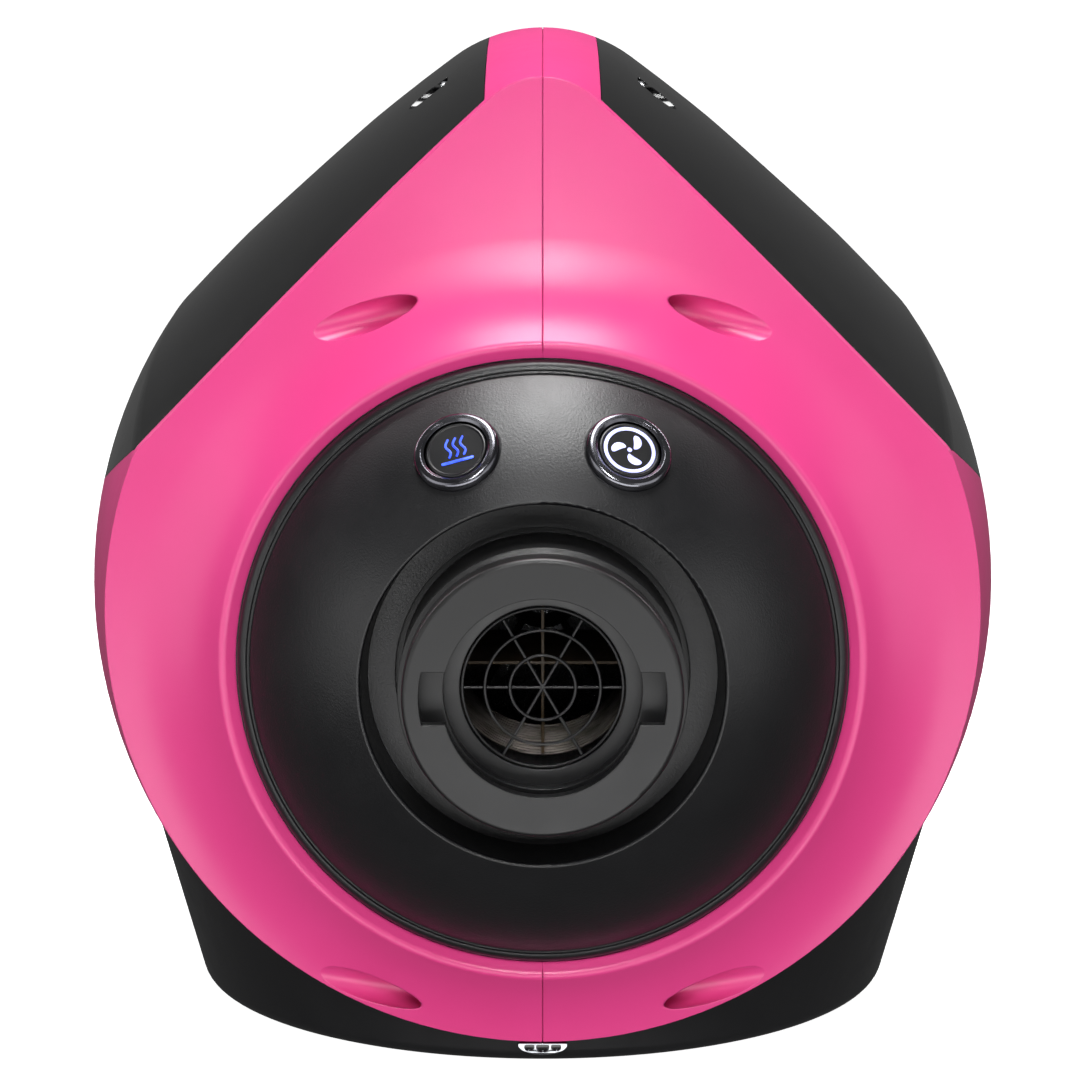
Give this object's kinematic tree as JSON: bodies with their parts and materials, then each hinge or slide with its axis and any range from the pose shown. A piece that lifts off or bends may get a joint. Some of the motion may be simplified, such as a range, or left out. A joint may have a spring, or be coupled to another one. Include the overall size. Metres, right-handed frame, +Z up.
{
  "type": "hair dryer",
  "caption": "Free-standing high-velocity blower dryer: teardrop clamshell with side covers, front hose outlet, push buttons, rear intake and round base.",
  "frame": {"origin": "on the floor, under the middle of the whole machine's bounding box", "axes": "+Z up; the air outlet faces -Y and the intake +Y; X = 0 is the plane of symmetry"},
  "size_m": [0.254, 0.292, 0.277],
  "materials": {
    "pink_shell": "satin moulded ABS",
    "gloss_black": "polished piano black ABS",
    "black_base": "satin moulded ABS",
    "black_panel": "fine grained satin black",
    "black_collar": "satin black nylon",
    "badge_chrome": "polished",
    "rubber": "matt",
    "screw_steel": "zinc plated",
    "duct_steel": "rolled",
    "mica": "pressed mica",
    "heater_wire": "oxidised nichrome",
    "grey_plastic": "moulded glass filled nylon",
    "impeller": "pressed",
    "steel": "ground",
    "copper": "enamelled copper",
    "aluminium": "die cast",
    "brass": "stamped",
    "carbon": "pressed carbon",
    "foam": "open cell foam",
    "circuit_board": "solder mask",
    "component_black": "moulded",
    "intake_black": "satin moulded",
    "button_metal": "dark polished",
    "button_cap": "satin black",
    "icon_blue": "lit by a blue LED",
    "icon_white": "lit by a white LED"
  },
  "bodies": {
    "housing": {"left_shell": "pink_shell", "right_shell": "pink_shell", "left_side_cover": "gloss_black", "right_side_cover": "gloss_black", "base_housing": "black_base", "front_panel": "black_panel", "hose_coupling": "black_collar", "outlet_guard": "black_collar", "badge_plate": "badge_chrome", "rubber_feet": "rubber", "base_screws": "screw_steel", "shell_screws": "screw_steel", "cover_screws": "screw_steel", "outlet_duct": "duct_steel", "thermal_cutout": "duct_steel", "heater_frame": "mica", "heater_coils": "heater_wire", "air_shroud": "grey_plastic", "fan_housing": "grey_plastic", "motor_bulkhead": "grey_plastic", "front_bearing": "steel", "rear_bearing": "steel", "stator_core": "steel", "heat_button_spring": "steel", "fan_button_spring": "steel", "stator_windings": "copper", "motor_front_bracket": "aluminium", "motor_rear_bracket": "aluminium", "brush_holders": "brass", "inlet_pins": "brass", "carbon_brushes": "carbon", "acoustic_foam": "foam", "control_board": "circuit_board", "board_components": "component_black", "power_inlet": "component_black", "intake_ring": "intake_black", "heat_button_housing": "button_metal", "fan_button_housing": "button_metal", "heat_button_nut": "button_metal", "fan_button_nut": "button_metal"},
    "heat_button": {"heat_button_cap": "button_cap", "heat_icon": "icon_blue"},
    "fan_button": {"fan_button_cap": "button_cap", "fan_icon": "icon_white"},
    "rotor": {"motor_shaft": "steel", "armature": "steel", "commutator": "copper", "impeller": "impeller", "impeller_nut": "steel"},
    "intake_door": {"intake_cover": "intake_black", "filter_foam": "foam"}
  },
  "joints": [
    {"name": "heat_button_press", "type": "slide", "parent": "housing", "child": "heat_button", "axis": [0.2305, 0.7525, -0.6169], "range_m": [0, 0.002], "stiffness_N_per_m": 1500, "springref_m": -0.0008},
    {"name": "fan_button_press", "type": "slide", "parent": "housing", "child": "fan_button", "axis": [-0.2305, 0.7525, -0.6169], "range_m": [0, 0.002], "stiffness_N_per_m": 1500, "springref_m": -0.0008},
    {"name": "motor_spin", "type": "hinge", "parent": "housing", "child": "rotor", "pos_m": [0, 0.07, 0.1145], "axis": [0, 1, 0], "continuous": true},
    {"name": "intake_cover_pull", "type": "slide", "parent": "housing", "child": "intake_door", "axis": [0, 1, 0], "range_m": [0, 0.06]}
  ]
}
